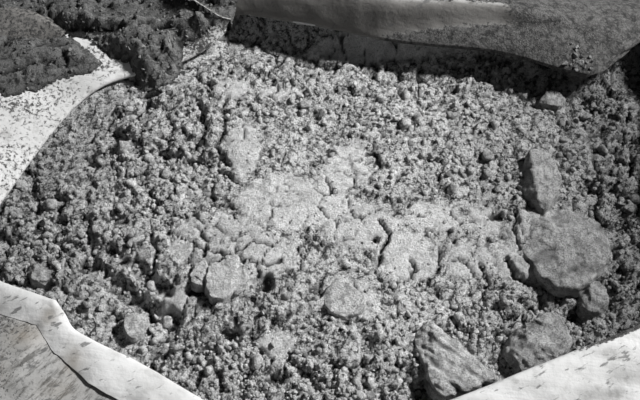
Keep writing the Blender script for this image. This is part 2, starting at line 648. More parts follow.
def blurred(field, cells):
    """A field smoothed by a bell of so many cells."""
    reach = int(cells * 3) + 1
    offsets = np.arange(-reach, reach + 1)
    weights = np.exp(-0.5 * (offsets / cells) ** 2)
    weights /= weights.sum()
    for axis in (0, 1):
        pad = [(0, 0), (0, 0)]
        pad[axis] = (reach, reach)
        wide = np.pad(field, pad, mode="edge")
        length = field.shape[axis]
        slices = [wide[k : k + length] if axis == 0 else wide[:, k : k + length] for k in range(2 * reach + 1)]
        field = sum(s * w for s, w in zip(slices, weights))
    return field


known = ~under_lump & ~np.isnan(base)
for shift in itertools.product((-1, 0, 1), repeat=2):
    known &= ~np.roll(under_lump, shift, (0, 1))
filled = blurred(np.where(known, base, 0), 2.4) / np.maximum(blurred(known * 1.0, 2.4), 1e-6)
base = blurred(np.where(known, base, filled), 1.7)
at_right = ramp(base_x, 0.112, 0.138)[None, :] * ramp(-np.abs(base_y - 0.012), -0.085, -0.055)[:, None]
base = base + 6 * MM * at_right  # the powder lies higher against the right end of the slit
print("surface between", round(float(base.min()), 4), "and", round(float(base.max()), 4), "m")


def lip_distance(x, y):
    """Distance from plan places to the lip, positive inside the slit."""
    start = lip[:, :2]
    run = np.roll(start, -1, 0) - start
    best = np.full(len(x), 9.0)
    crossings = np.zeros(len(x), int)
    for (ax, ay), (rx, ry) in zip(start, run):
        share = np.clip(((x - ax) * rx + (y - ay) * ry) / (rx * rx + ry * ry), 0, 1)
        best = np.minimum(best, (x - ax - rx * share) ** 2 + (y - ay - ry * share) ** 2)
        if ry != 0:
            crosses = (ay > y) != (ay + ry > y)
            crossings += crosses & (x < ax + rx * (y - ay) / ry)
    return np.sqrt(best) * np.where(crossings % 2 == 1, 1, -1)


inward = lip_distance(grid_x, grid_y).reshape(base_shape)


def sampled(field, x, y):
    """A 3 mm field's value at plan places."""
    column = np.clip((x - base_x[0]) / BASE_STEP, 0, len(base_x) - 1.001)
    row = np.clip((y - base_y[0]) / BASE_STEP, 0, len(base_y) - 1.001)
    i, j = column.astype(int), row.astype(int)
    u, v = column - i, row - j
    top = field[j, i] * (1 - u) + field[j, i + 1] * u
    low = field[j + 1, i] * (1 - u) + field[j + 1, i + 1] * u
    return top * (1 - v) + low * v


# %% [markdown]
# What is seen in the powder is listed by place, in millimetres from the middle of the sack: the
# smooth caked patches, the voids between clods, and the cracks and grooves as broken lines.

# %% Places in the powder
CAKED = (  # x, y, and the patch's reach along x and along y
    (-69, 36, 8, 17), (-44, 6, 26, 15), (-80, -14, 22, 13), (-10, -6, 20, 12), (12, -20, 16, 13),
    (43, -22, 12, 10), (-62, -24, 20, 12), (68, -24, 12, 9), (-17, -43, 14, 9), (-100, -44, 8, 7),
    (88, -12, 26, 18), (-14, 38, 7, 5), (-24, 8, 11, 12), (-50, -66, 8, 6), (-18, 24, 13, 10), (26, 0, 15, 8),
    (52, 0, 9, 9), (-76, 79, 9, 6), (-54, 76, 9, 5), (5, 108, 44, 8),
)
VOIDS = (  # x, y, reach along x and y, depth
    (-89, -39, 7, 4, 7), (-57, -38, 6, 5, 6), (-32, -40, 4, 4, 4), (19, -87, 10, 6, 10), (52, -84, 8, 4, 8),
    (93, -48, 7, 6, 8), (-3, -13, 2, 2, 3), (-121, 77, 8, 2.5, 4), (-140, -16, 9, 4, 3), (-48, -84, 9, 5, 4),
    (104, -40, 12, 10, 5), (-72, -62, 5, 4, 4), (-92, 60, 3, 8, 4), (31, 17, 5, 3, 3), (76, 14, 6, 4, 3),
    (58, 2, 5, 4, 4), (105, 20, 7, 4, 3), (-32, 61, 3, 6, 3), (15, -62, 6, 3, 3), (-6, -70, 7, 4, 3),
)
GROOVES = (  # a broken line, its half-width and its depth
    (((67, 4), (66, -8), (72, -21), (78, -29)), 0.9, 3.5),
    (((61, -21), (65, -30), (75, -35), (85, -36)), 1.0, 4.5),
    (((-112, 37), (-103, 33), (-93, 38)), 1.3, 4.0),
    (((-93, 66), (-89, 50), (-94, 38)), 1.6, 4.0),
    (((-80, 47), (-83, 38), (-76, 27)), 1.2, 3.5),
    (((0, -2), (4, -11), (1, -17), (-2, -27)), 0.9, 3.5),
    (((14, -23), (17, -28), (10, -33)), 0.8, 3.0),
    (((29, -15), (27, -29)), 0.8, 3.0),
    (((-31, -24), (-25, -15)), 0.7, 2.5), (((-41, -19), (-36, -27)), 0.7, 2.5),
    (((-70, -23), (-62, -17), (-52, -20)), 0.7, 2.5), (((-90, -8), (-84, -16), (-86, -24)), 0.7, 2.5),
    (((-64, -26), (-55, -29), (-48, -26)), 0.7, 2.2), (((-22, -46), (-18, -57), (-22, -64)), 0.8, 3.0),
    (((48, -24), (51, -33), (47, -42)), 0.9, 3.0), (((-143, -23), (-134, -31), (-122, -40), (-101, -54)), 5.2, 6.5),
    (((-133, -17), (-124, -23), (-112, -32), (-104, -39)), 3.4, 3.6),
)
CLODDY = (  # where the powder lies in clods; elsewhere it is flatter, with thin cracks
    (-117, 42, 34, 38), (-40, -76, 74, 25), (-160, -18, 30, 44), (5, 92, 95, 15), (122, 10, 17, 78),
    (70, -54, 46, 15), (-78, 78, 20, 26), (-190, 34, 20, 60),
)
FINE = (  # where there are few crumbs
    (-104, -26, 26, 15), (-118, -36, 25, 16), (100, 50, 20, 22), (-28, -66, 18, 9), (-78, 62, 12, 12),
)


def drift(points, reach, size, seed):
    """Moves in plan, by up to about `reach`, that change over distances of about `size`."""
    return reach * np.column_stack([bumps(points, size, seed), bumps(points, size, seed + 1), points[:, 0] * 0])


def patch_mask(points, patches):
    """How much a place belongs to any of the patches, from 0 to 1, with ragged edges."""
    ragged = points + drift(points, 2.5 * MM, 9 * MM, 31)
    found = np.zeros(len(points))
    for x, y, reach_x, reach_y in patches:
        gap = np.hypot((ragged[:, 0] - x * MM) / (reach_x * MM), (ragged[:, 1] - y * MM) / (reach_y * MM))
        found = np.maximum(found, 1 - ramp(gap, 0.75, 1.25))
    return found


def line_gap(points, line):
    """Distance in mm from plan places to a broken line."""
    best = np.full(len(points), 99.0)
    for (ax, ay), (bx, by) in zip(line, line[1:]):
        rx, ry = bx - ax, by - ay
        px, py = points[:, 0] / MM - ax, points[:, 1] / MM - ay
        share = np.clip((px * rx + py * ry) / (rx * rx + ry * ry), 0, 1)
        best = np.minimum(best, np.hypot(px - rx * share, py - ry * share))
    return best


def clods(points, seed, coarse):
    """Relief of crumbly cement in mm: clods in three sizes, each at its own level, crevices and grit."""
    total = 1.3 * bumps(points, 15 * MM, seed + 1) * coarse
    warp = points + drift(points, 1.6 * MM, 5 * MM, seed + 2)
    for size, dome, step, slant, crevice in (
            (11.0, 0.8, 1.8, 3.4, 3.2), (5.6, 0.7, 0.8, 1.6, 1.7), (2.9, 0.6, 0.4, 0.7, 0.5)):
        near, second, own, lean = cobbles(warp, size * MM, seed + int(size * 10))
        apart = (1 - ramp(second - near, 0.0, 0.14)) * ramp(bumps(points, size * 2 * MM, seed + 4), -0.45, 0.1)
        top = dome * (1 - np.minimum(near * 1.25, 1.1) ** 4) + step * (own - 0.5) * 2 + slant * lean
        total = total + coarse * (top - crevice * apart)
    return total - 0.9 * coarse + 0.45 * bumps(points, 1.8 * MM, seed + 5)


def open_ground(points, seed):
    """Relief of powder that lies flat, in mm: low swells, sandy grain and thin cracks between slabs."""
    warp = points + drift(points, 1.5 * MM, 7 * MM, seed)
    warp = warp + drift(points, 0.6 * MM, 2.4 * MM, seed + 2)
    total = sum(
        height * bumps(points, size * MM, seed + 4 + int(size))
        for size, height in ((27, 1.0), (11, 0.8), (5, 0.55), (2.8, 0.5), (1.8, 0.42)))
    for size, step, slant, depth, often in ((16, 0.5, 1.6, 2.6, -0.1), (7.3, 0.4, 1.0, 1.7, 0.0)):
        near, second, own, lean = cobbles(warp, size * MM, seed + 20 + int(size))
        open_here = ramp(bumps(points, size * 1.5 * MM, seed + 30), often, often + 0.3)
        crack = (1 - ramp(second - near, 0.02, 0.02 + 1.2 / size)) * open_here
        total = total + step * 2 * (own - 0.5) + slant * lean - depth * crack
    return total


def caked_plates(points, seed):
    """Relief of a caked patch in mm: plates at slightly different levels, with cracks between."""
    warp = points + drift(points, 1.8 * MM, 9 * MM, seed + 3)
    warp = warp + drift(points, 0.6 * MM, 2.5 * MM, seed + 5)
    near, second, own, lean = cobbles(warp, 14 * MM, seed + 7)
    open_crack = ramp(bumps(points, 22 * MM, seed + 9), -0.3, 0.2)
    crack = (1 - ramp(second - near, 0.02, 0.08)) * open_crack
    near, second, _, _ = cobbles(warp, 6 * MM, seed + 8)
    hair = (1 - ramp(second - near, 0.02, 0.13)) * ramp(bumps(points, 15 * MM, seed + 10), 0.05, 0.4)
    sand = 0.16 * bumps(points, 2.3 * MM, seed + 12) + 0.12 * bumps(points, 1.5 * MM, seed + 13)
    return 0.9 * (own - 0.5) + 0.8 * lean - 2.6 * crack - 1.2 * hair + 0.3 * bumps(points, 8 * MM, seed + 11) + sand


# %% The powder's grid
def graded(low, high, dense_low, dense_high, fine, coarse):
    """Grid lines that are `fine` apart in the dense stretch and grow to `coarse` away from it."""
    lines = [low]
    while lines[-1] < high:
        away = max(dense_low - lines[-1], lines[-1] - dense_high, 0)
        lines.append(lines[-1] + min(coarse, fine + away * 0.04))
    return np.array(lines)


NOISE_LEVEL = 0.0371  # one height for all, so that the noise depends on the plan place only
columns = graded(-0.236, 0.206, -0.198, 0.134, 1.02 * MM, 2.0 * MM)
rows = graded(-0.138, 0.150, -0.130, 0.110, 1.06 * MM, 1.6 * MM)
shape = (len(rows), len(columns))
powder_x, powder_y = (g.ravel() for g in np.meshgrid(columns, rows))
into = sampled(inward, powder_x, powder_y)
plan = np.column_stack([powder_x, powder_y, np.full(len(powder_x), NOISE_LEVEL)])
caked = patch_mask(plan, CAKED)
rough = 1 + 0.4 * ramp(bumps(plan, 60 * MM, 41), 0.0, 0.8) + 0.1 * ramp(-powder_y, 0.035, 0.075)
fine = patch_mask(plan, FINE)
cloddy = patch_mask(plan, CLODDY) * ramp(bumps(plan, 24 * MM, 47), -0.9, -0.1) * (1 - 0.8 * fine)
relief = clods(plan, 50, 1.0) * rough * cloddy + open_ground(plan, 90) * (1 - cloddy)
relief = relief * (1 - caked) + (caked_plates(plan, 70) + 0.3) * caked
ragged_x = powder_x / MM + 1.4 * bumps(plan, 6 * MM, 33) + 1.0 * bumps(plan, 2.4 * MM, 35)
ragged_y = powder_y / MM + 1.4 * bumps(plan, 6 * MM, 34) + 1.0 * bumps(plan, 2.4 * MM, 36)
for x, y, reach_x, reach_y, depth in VOIDS:
    gap = np.hypot((ragged_x - x) / reach_x, (ragged_y - y) / reach_y)
    relief -= depth * (1 - ramp(gap, 0.35, 1.15))
bent = np.column_stack([ragged_x, ragged_y, ragged_y]) * MM
for line, half, depth in GROOVES:
    relief -= depth * (1 - ramp(line_gap(bent, line), half * 0.4, half * 1.5))
powder_z = sampled(base, powder_x, powder_y) + relief * MM
print("powder grid", shape, "relief", relief.min().round(1), "to", relief.max().round(1), "mm")

# %% Hold the powder under the sheet
sheet_tree = tree_of(sack)
UNDER_LIP = 10 * MM  # so far the powder goes on under the paper; under the tongue it goes further
near_paper = (into < 9 * MM) & (into > -0.055)
ceiling = np.full(len(powder_x), np.nan)
ceiling[near_paper] = drop(sheet_tree, powder_x[near_paper], powder_y[near_paper], 0.03, up=True)
room = np.where(np.isnan(ceiling), 9.0, ceiling - 0.9 * MM)
broken = np.clip(1.4 - relief, 0, 4.5) * ramp(powder_y, 0.085, 0.098) * ramp(powder_x, -0.105, -0.095) * MM
powder_z = np.minimum(powder_z, room - broken)
headroom = room - powder_z
keep = (into > -UNDER_LIP) | ((into > -0.045) & (powder_y > 0.03) & (powder_x > -0.095))
keep |= (into > -0.030) & (powder_x > 0.0)


def grid_cells(keep, shape):
    """Quads of a grid whose four corners are kept."""
    corners = keep.reshape(shape)
    whole = corners[:-1, :-1] & corners[1:, :-1] & corners[:-1, 1:] & corners[1:, 1:]
    for _ in range(3):  # quads that touch at one corner only are parted
        a, b, c, d = whole[:-1, :-1], whole[:-1, 1:], whole[1:, :-1], whole[1:, 1:]
        a &= ~(a & d & ~b & ~c)
        b &= ~(b & c & ~a & ~d)
    row, column = np.nonzero(whole)
    a = row * shape[1] + column
    return np.stack([a, a + 1, a + 1 + shape[1], a + shape[1]], 1)


def closed_block(name, points, quads, depth_of, values):
    """A body with a gridded top: its border goes down to a floor, which is closed with a face.
    depth_of gives the floor's height for the border's points."""
    used, index = np.unique(quads, return_inverse=True)
    quads = index.reshape(quads.shape)
    points = points[used]
    edges = np.concatenate([quads[:, [k, (k + 1) % 4]] for k in range(4)])
    lookup = {tuple(e) for e in edges.tolist()}
    border = [e for e in edges.tolist() if (e[1], e[0]) not in lookup]
    low = {}
    low_points = []
    for a, b in border:
        for k in (a, b):
            if k not in low:
                low[k] = len(points) + len(low_points)
                low_points.append([points[k][0], points[k][1], depth_of(points[k])])
    sides = [[a, low[a], low[b], b] for a, b in border]
    values = {k: np.asarray(v)[used] for k, v in values.items()}
    values = {k: np.concatenate([v, v[list(low)] if k == "soil" else np.zeros(len(low))]) for k, v in values.items()}
    piece = add_piece(name, np.concatenate([points, low_points]), quads.tolist() + sides, values)
    work = bmesh.new()
    work.from_mesh(piece.data)
    open_edges = [e for e in work.edges if e.is_boundary]
    bmesh.ops.triangle_fill(work, use_beauty=name == "loose_cement", use_dissolve=False, edges=open_edges)
    left = [e for e in work.edges if e.is_boundary]
    work.to_mesh(piece.data)
    work.free()
    print(name, "open edges left:", len(left))
    return piece


PEBBLE_ZONES = (  # x, y, reach along x and along y: where larger crumbs gather
    (0, -72, 75, 26), (95, -55, 40, 30), (-95, -75, 60, 20), (20, 72, 95, 12), (120, 20, 25, 60),
    (-110, 20, 45, 32), (-160, -15, 40, 30), (-20, 60, 60, 12), (45, 20, 40, 30), (60, -50, 35, 12), (-30, -85, 60, 18),
)
pebbles = np.zeros(len(plan))
for x, y, reach_x, reach_y in PEBBLE_ZONES:
    pebbles += np.exp(-(((powder_x / MM - x) / reach_x) ** 2) - ((powder_y / MM - y) / reach_y) ** 2)
crevice = blurred(relief.reshape(shape), 2.2) - relief.reshape(shape)
crevice = np.clip((crevice.ravel() - 0.2) / 1.0, 0, 1)
crumbly = (0.42 + 0.6 * crevice) * (1 - 0.6 * caked) * (1 - 0.5 * fine)
crumbly = crumbly * ramp(headroom, 2.5 * MM, 6 * MM) * ramp(into, -0.03, -0.02)
crumbly = crumbly * np.where((into < 2.5 * MM) & (headroom < 8 * MM), 0, 1)
kept = np.pad(keep.reshape(shape), 1)
inner = kept[:-2, 1:-1] & kept[2:, 1:-1] & kept[1:-1, :-2] & kept[1:-1, 2:] & kept[:-2, :-2] & kept[2:, 2:]
crumbly = crumbly * inner.ravel()
pebbly = np.sign(crumbly) * (1 - 0.9 * caked) * np.clip(pebbles * (0.5 + 0.9 * bumps(plan, 20 * MM, 43)), 0.03, 1)
powder_points = np.column_stack([powder_x, powder_y, powder_z])
powder = closed_block(
    "loose_cement", powder_points, grid_cells(keep, shape), lambda p: 0.012,
    {"caked": caked, "hollow": crevice, "crumbly": crumbly, "pebbly": pebbly},
)
counted(powder)

# %% [markdown]
# ## Caked lumps
#
# A broken lump of cement has a clear outline, one or two flat faces on top and steep sides. So each
# is given by its outline in plan and by the planes of its faces: the top is the lowest of the
# planes at every point, which makes straight ridges where two planes meet. Rings run from the
# middle to the outline, down the side and back under. Then the surface is roughened with dents,
# chips and grit, and on the large wedge at the front with slanting furrows.

# %% The lumps' outlines and faces
# outline in mm; planes as x, y, height over the powder there, slope along x and along y;
# dents, grit and furrows in mm
LUMP_SHAPES = {
    "lump_oval": (((76, 35), (83, 37), (88, 31), (91, 23), (89, 13), (84, 6), (81, 3), (76, 7), (72, 13), (70, 24)),
                  ((82, 21, 7.5, -0.16, 0.03), (73, 21, 4.0, 1.1, 0.1), (82, 5, 5, 0, 0.9)), 0.6, 0.5, 0),
    "lump_broad": (((103, 1), (109, -3), (112, -14), (109, -22), (104, -30), (99, -36), (94, -38), (83, -39), (76, -32),
                    (72, -24), (68, -15), (66, -6), (70, 3), (81, 7), (93, 7)),
                   ((92, -16, 7.0, -0.01, -0.02), (88, 4, 2.0, 0.0, -0.45), (70, -10, 2.6, 0.3, 0.0),
                    (107, -10, 6.0, -0.5, 0)), 0.9, 0.55, 0),
    "lump_front": (((18, -56), (22, -55), (27, -60), (35, -66), (41, -73), (48, -78), (52, -83), (44, -87), (34, -90),
                    (26, -92), (21, -87), (18, -78), (16, -72), (14, -66), (15, -60)),
                   ((30, -72, 11.0, -0.05, 0.12), (35, -66, 8.0, -0.42, -0.46), (24, -64, 11.6, 0.62, -0.1),
                    (30, -90, 6.8, 0.1, 0.5)), 0.3, 0.3, 1.0),
    "lump_blunt": (((58, -63), (61, -58), (71, -54), (78, -51), (83, -50), (86, -56), (88, -64), (87, -67), (80, -72),
                    (72, -75), (64, -77), (61, -72), (57, -67)),
                   ((75, -62, 11.0, -0.12, 0.1), (60, -64, 6.0, 0.9, -0.2), (76, -74, 6.0, 0, 0.8)), 0.9, 0.55, 0),
    "lump_smooth": (((-29, -44), (-25, -38), (-20, -37), (-15, -39), (-10, -44), (-8, -49), (-12, -53), (-19, -55),
                     (-25, -53), (-28, -49)),
                    ((-18, -46, 3.2, -0.04, 0.05), (-27, -46, 2.2, 0.5, 0)), 0.15, 0.1, 0.12),
    "plate_large": (((-83, -29), (-74, -25), (-66, -29), (-64, -37), (-70, -42), (-76, -47), (-82, -45), (-84, -39),
                     (-84, -34)),
                    ((-75, -36, 2.6, 0.0, 0.05),), 0.7, 0.4, 0),
    "plate_small": (((-92, -34), (-89, -27), (-85, -26), (-83.5, -30), (-84, -35), (-86, -39), (-91, -37)),
                    ((-88, -32, 2.6, 0.05, 0.05),), 0.7, 0.4, 0),
    "lump_left": (((-173, -25), (-166, -26), (-157, -28), (-158, -32), (-164, -34), (-169, -33)),
                  ((-165, -29, 4.5, -0.05, 0.1), (-170, -30, 3.5, 0.7, 0)), 0.8, 0.4, 0),
    "lump_back": (((86, 73), (91, 79), (97, 79), (101, 74), (97, 69), (91, 70)),
                  ((93, 74, 6.0, -0.1, 0.0), (88, 74, 4.0, 0.8, 0)), 0.4, 0.2, 0),
    "lump_corner": (((-122, -59), (-122, -52), (-116, -51), (-111, -56), (-113, -61), (-118, -64)),
                    ((-117, -57, 4.5, 0.0, 0.05),), 0.5, 0.3, 0),
    "lump_dark": (((94, -41), (97, -35), (103, -33), (108, -36), (109, -43), (103, -48), (97, -47)),
                  ((102, -41, 7.0, -0.2, 0.1), (97, -42, 5.0, 0.8, 0.1), (102, -46, 5.0, 0, 0.7)), 0.6, 0.35, 0),
}


def outline_reach(outline, middle, angles):
    """How far the outline lies from the middle in each direction, in mm."""
    reach = np.full(len(angles), 1.0)
    for k, angle in enumerate(angles):
        dx, dy = math.cos(angle), math.sin(angle)
        for (ax, ay), (bx, by) in zip(outline, outline[1:] + outline[:1]):
            from_x, from_y, rx, ry = ax - middle[0], ay - middle[1], bx - ax, by - ay
            cross = dx * ry - dy * rx
            if abs(cross) > 1e-9:
                far = (from_x * ry - from_y * rx) / cross
                share = (from_x * dy - from_y * dx) / cross
                if far > 0 and -1e-6 <= share <= 1 + 1e-6:
                    reach[k] = max(reach[k], far)
    return reach


def lump_piece(name, outline, planes, dents, grit, furrows):
    """A broken lump: rings over its top, down its side and back under it."""
    middle = np.mean(outline, axis=0)
    count = 130 if np.ptp(outline, axis=0).max() > 25 else 72
    angles = np.arange(count) * 2 * math.pi / count
    seed = 200 + 10 * LUMPS.index(name)
    compass = np.column_stack([np.cos(angles), np.sin(angles), angles * 0]) * 0.010
    reach = round_blur(outline_reach(outline, middle, angles)[:, None], 1)[:, 0]
    plate = name.startswith("plate_")
    broken_edge = (0.9 if plate else 0.3) * bumps(compass * reach[:, None] / 10, 1.8 * MM, seed + 1)
    reach = reach * (1 + 0.05 * bumps(compass, 4 * MM, seed)) + broken_edge
    ground_level = float(sampled(base, middle[:1] * MM, middle[1:] * MM)[0]) / MM

    def at(share, height=None, spread=0.0):
        x = middle[0] + np.cos(angles) * (reach * share + spread)
        y = middle[1] + np.sin(angles) * (reach * share + spread)
        top = np.min([h + sx * (x - px) + sy * (y - py) for px, py, h, sx, sy in planes], axis=0)
        top = ground_level + np.maximum(top, -1.0)
        if height is not None:
            top = top * (1 - height) + (ground_level - 5) * height
        return np.column_stack([x, y, top])

    rings = [at(s) for s in 1 - (1 - np.linspace(0.03, 1, 22)) ** 1.25]
    rings += [at(1, s, 1.6 * s) for s in np.linspace(0, 1, 11)[1:]]
    rings += [at(s, 1.0) for s in (0.7, 0.35, 0.05)]
    net = np.array(rings)
    for _ in range(2):
        net[1:-1] = 0.25 * net[:-2] + 0.5 * net[1:-1] + 0.25 * net[2:]
    flat = net.reshape(-1, 3) * MM
    own = cobbles(flat + flat[:, 2:] * 0.7, 6.5 * MM, seed + 5)[2]
    amount = dents * (bumps(flat, 9 * MM, seed + 2) + 0.9 * (own - 0.5))
    amount += grit * layered(flat, 3.2 * MM, 2, seed + 3)
    if furrows:
        slant = flat @ np.array([[0.75, -0.66, 0], [0.66, 0.75, 0], [0, 0, 1]]).T * np.array([0.28, 1, 1])
        amount -= furrows * np.maximum(bumps(slant, 2.6 * MM, seed + 4), -0.1) * 1.6
    amount = amount.reshape(net.shape[:2]) * np.linspace(0, 1, len(net))[:, None].clip(0.0, 0.08) / 0.08
    net = net * MM + facing(net) * (amount * MM)[:, :, None]
    top_point, low_point = net[0].mean(0), net[-1].mean(0)
    ring_points = net.shape[0] * count
    faces = net_faces(len(net), count)
    for k in range(count):
        after = (k + 1) % count
        faces.append([ring_points, k, after])
        faces.append([ring_points + 1, ring_points - count + after, ring_points - count + k])
    values = np.append(np.clip(-amount.ravel() / 1.2, 0, 1), [0, 0])
    points = np.concatenate([net.reshape(-1, 3), [top_point, low_point]])
    caked_share = np.full(len(points), 0.9 if plate else 0.25)
    return counted(add_piece(name + "_caked", points, faces, {"caked": caked_share, "hollow": values}))


# %% Make the lumps
lumps = {name: lump_piece(name, *LUMP_SHAPES[name]) for name in LUMPS}

# %% [markdown]
# ## Cement spilled on the paper
#
# At the back left two low heaps lie on the turned-back margin. Each is a grid over its outline,
# with a border that follows the paper, a height that grows from its edge inwards, and the same
# clods as the powder. Between them lies a rolled fold of soiled paper, made the same way but
# smooth.

# %% Heaps
HEAPS = {  # outline in mm; height, how far in it is reached, how coarse the clods are, and a seed
    "spilled_cement_left": (
        ((-235, 80), (-228, 70), (-210, 67), (-197, 68), (-187, 69), (-176, 74), (-171, 79), (-165, 82), (-158, 85),
         (-150, 88), (-144, 91), (-150, 96), (-156, 100), (-161, 104), (-166, 107), (-184, 108), (-214, 108),
         (-231, 102), (-237, 91)),
        7.0, 12, 0.6, 300),
    "spilled_cement_back": (
        ((-230, 145), (-236, 132), (-230, 118), (-204, 115), (-185, 113), (-172, 110), (-167, 107), (-159, 106),
         (-153, 103), (-146, 98), (-138, 94), (-132, 92), (-130, 88), (-128, 83), (-124, 80), (-116, 80),
         (-109, 84), (-106, 89),
         (-104, 95), (-105, 101), (-99, 104), (-91, 107), (-83, 113), (-77, 120), (-73, 129), (-79, 146), (-120, 149),
         (-200, 150), (-215, 149)),
        10.0, 9, 0.75, 340),
}
FOLD_OUTLINE = (
    (-236, 121), (-226, 126), (-205, 125), (-194, 123), (-181, 120), (-172, 116), (-166, 110), (-169, 105),
    (-179, 102), (-191, 100), (-201, 100), (-228, 101), (-237, 108),
)
HEAP_GROOVES = (  # a broken line in mm, its half-width and its depth
    (((-170, 107), (-157, 109), (-146, 108), (-138, 108)), 2.4, 9.0),
    (((-148, 117), (-128, 119), (-104, 117), (-88, 115)), 5.0, 2.5),
    (((-137, 107), (-122, 110), (-106, 107)), 1.6, 2.0), (((-196, 80), (-186, 84), (-176, 88)), 1.3, 3.0),
    (((-124, 100), (-118, 92), (-112, 86)), 1.6, 2.5), (((-180, 98), (-166, 99)), 1.3, 3.0),
)
HEAP_SMOOTH = (  # x, y and the reach along x and y of the finer powder
    (-118, 84, 13, 6), (-120, 118, 36, 6), (-176, 96, 12, 5), (-200, 84, 10, 8),
)
HEAP_BORDER = 1.2  # grid points this near the outline, in mm, are drawn onto it


def outline_gap(x, y, outline):
    """Distance in mm inside a closed outline of plan places; negative outside."""
    px, py = x / MM, y / MM
    best, crossings = np.full(len(px), 1e6), np.zeros(len(px), int)
    for (ax, ay), (bx, by) in zip(outline, outline[1:] + outline[:1]):
        rx, ry = bx - ax, by - ay
        share = np.clip(((px - ax) * rx + (py - ay) * ry) / (rx * rx + ry * ry), 0, 1)
        best = np.minimum(best, np.hypot(px - ax - rx * share, py - ay - ry * share))
        if ry:
            crossings += ((ay > py) != (by > py)) & (px < ax + rx * (py - ay) / ry)
    return best * np.where(crossings % 2 == 1, 1, -1)


ground_tree = tree_of(sack, powder)


def heap_piece(name, outline, height, slope, coarse, seed):
    """A heap whose border lies on what is below it. With coarse 0 it has no clods and is round."""
    step = 1.1 * MM
    lows, highs = np.min(outline, 0) * MM, np.max(outline, 0) * MM
    xs, ys = (np.arange(lows[k] - 4 * MM, highs[k] + 4 * MM, step) for k in (0, 1))
    x, y = (g.ravel() for g in np.meshgrid(xs, ys))
    grid_shape = (len(ys), len(xs))
    points = np.column_stack([x, y, np.full(len(x), 0.0211)])
    wobble = 1.6 * bumps(points, 9 * MM, seed) + 1.1 * bumps(points, 3.5 * MM, seed + 1)
    wobble = wobble * (1 if coarse else 0.2)
    gap = outline_gap(x, y, outline) + wobble
    slope_y, slope_x = np.gradient(gap.reshape(grid_shape), step / MM)
    steep = np.maximum(np.hypot(slope_x, slope_y).ravel(), 0.5)
    pull = np.where(gap < HEAP_BORDER, gap, 0) / steep**2 * MM
    x, y = x - pull * slope_x.ravel(), y - pull * slope_y.ravel()
    within = gap > 0
    rest = np.full(len(x), np.nan)
    rest[within] = drop(ground_tree, x[within], y[within])
    within &= ~np.isnan(rest)
    found = ~np.isnan(rest)
    rest = np.where(found, rest, 0.1)
    weight = blurred((found * 1.0).reshape(grid_shape), 4)
    even = blurred((rest * found).reshape(grid_shape), 4) / np.maximum(weight, 1e-6)
    gap = np.where(gap < HEAP_BORDER, 0, gap)
    share = np.clip(gap / slope, 0, 1)
    rise = height * np.sin(share * math.pi / 2) ** 1.2 * (0.75 + 0.35 * bumps(points, 26 * MM, seed + 2))
    if coarse:
        rise = rise + (even.ravel() - rest) / MM * ramp(gap, 1.0, 6.0)
    else:
        rise = rise + (even.ravel() - rest) / MM - 1.8 * (1 - ramp(gap, 0.0, 2.5))
    if coarse:
        bits = clods(points, seed + 5, coarse) * np.clip(gap / 5, 0, 1)
        bits = bits * (1 - 0.85 * patch_mask(points, HEAP_SMOOTH))
        bent = points + drift(points, 1.5 * MM, 6 * MM, seed + 3)
        for line, half, depth in HEAP_GROOVES:
            bits = bits - depth * (1 - ramp(line_gap(bent, line), half * 0.4, half * 1.5))
    else:
        bits = 0.25 * bumps(points, 8 * MM, seed)
    top = rest + np.maximum(rise + bits, 0.2 if coarse else -9) * MM
    lookup = {(round(a, 6), round(b, 6)): c for a, b, c in zip(x, y, np.minimum(rest, top))}
    pit = np.clip((blurred((rise + bits).reshape(grid_shape), 2.2).ravel() - rise - bits) / 1.2, 0, 1)
    dusty = 0.9 * (1 - np.clip(gap / 3.5, 0, 1)) * ramp(bumps(points, 6 * MM, seed), -0.3, 0.2)
    values = {
        "caked": np.zeros(len(x)), "hollow": pit * (coarse > 0), "crumbly": np.clip(gap / 3, 0.3, 1),
        "soil": np.ones(len(x)), "dusty": np.maximum(0.42, dusty),
    }
    return counted(closed_block(
        name, np.column_stack([x, y, top]), grid_cells(within, grid_shape),
        lambda p: lookup[(round(p[0], 6), round(p[1], 6))] - 0.2 * MM, values))


heaps = {name: heap_piece(name + "_heap", *values) for name, values in HEAPS.items()}
ground_tree = tree_of(sack, powder, *heaps.values())
rolled_fold = heap_piece("rolled_fold", FOLD_OUTLINE, 9.0, 11, 0, 380)

# %% [markdown]
# ## Crumbs
#
# Thousands of crumbs lie loose on the powder, and no hand would place them one by one. A Geometry
# Nodes tree scatters points over the crumbly faces and puts one of nine small angular stones on
# each, with its own size, turn and shade. After the stones are realized their points are pushed
# about by noise, so that no two crumbs are alike. It is run at three sizes, because a crumb that
# is three pixels across needs fourteen faces and a pebble needs some hundred and thirty.

# %% The crumb tree
def adder(tree):
    """A function that adds one node, sets it and links its inputs."""
    def add(kind, inputs=None, **settings):
        node = tree.nodes.new(kind)
        for key, value in settings.items():
            setattr(node, key, value)
        for key, value in (inputs or {}).items():
            if isinstance(value, bpy.types.NodeSocket):
                tree.links.new(value, node.inputs[key])
            else:
                node.inputs[key].default_value = value
        return node
    return add


def socket_named(tree, name):
    """The identifier of a tree's input, which a modifier needs."""
    return next(i.identifier for i in tree.interface.items_tree if i.name == name and i.in_out == "INPUT")


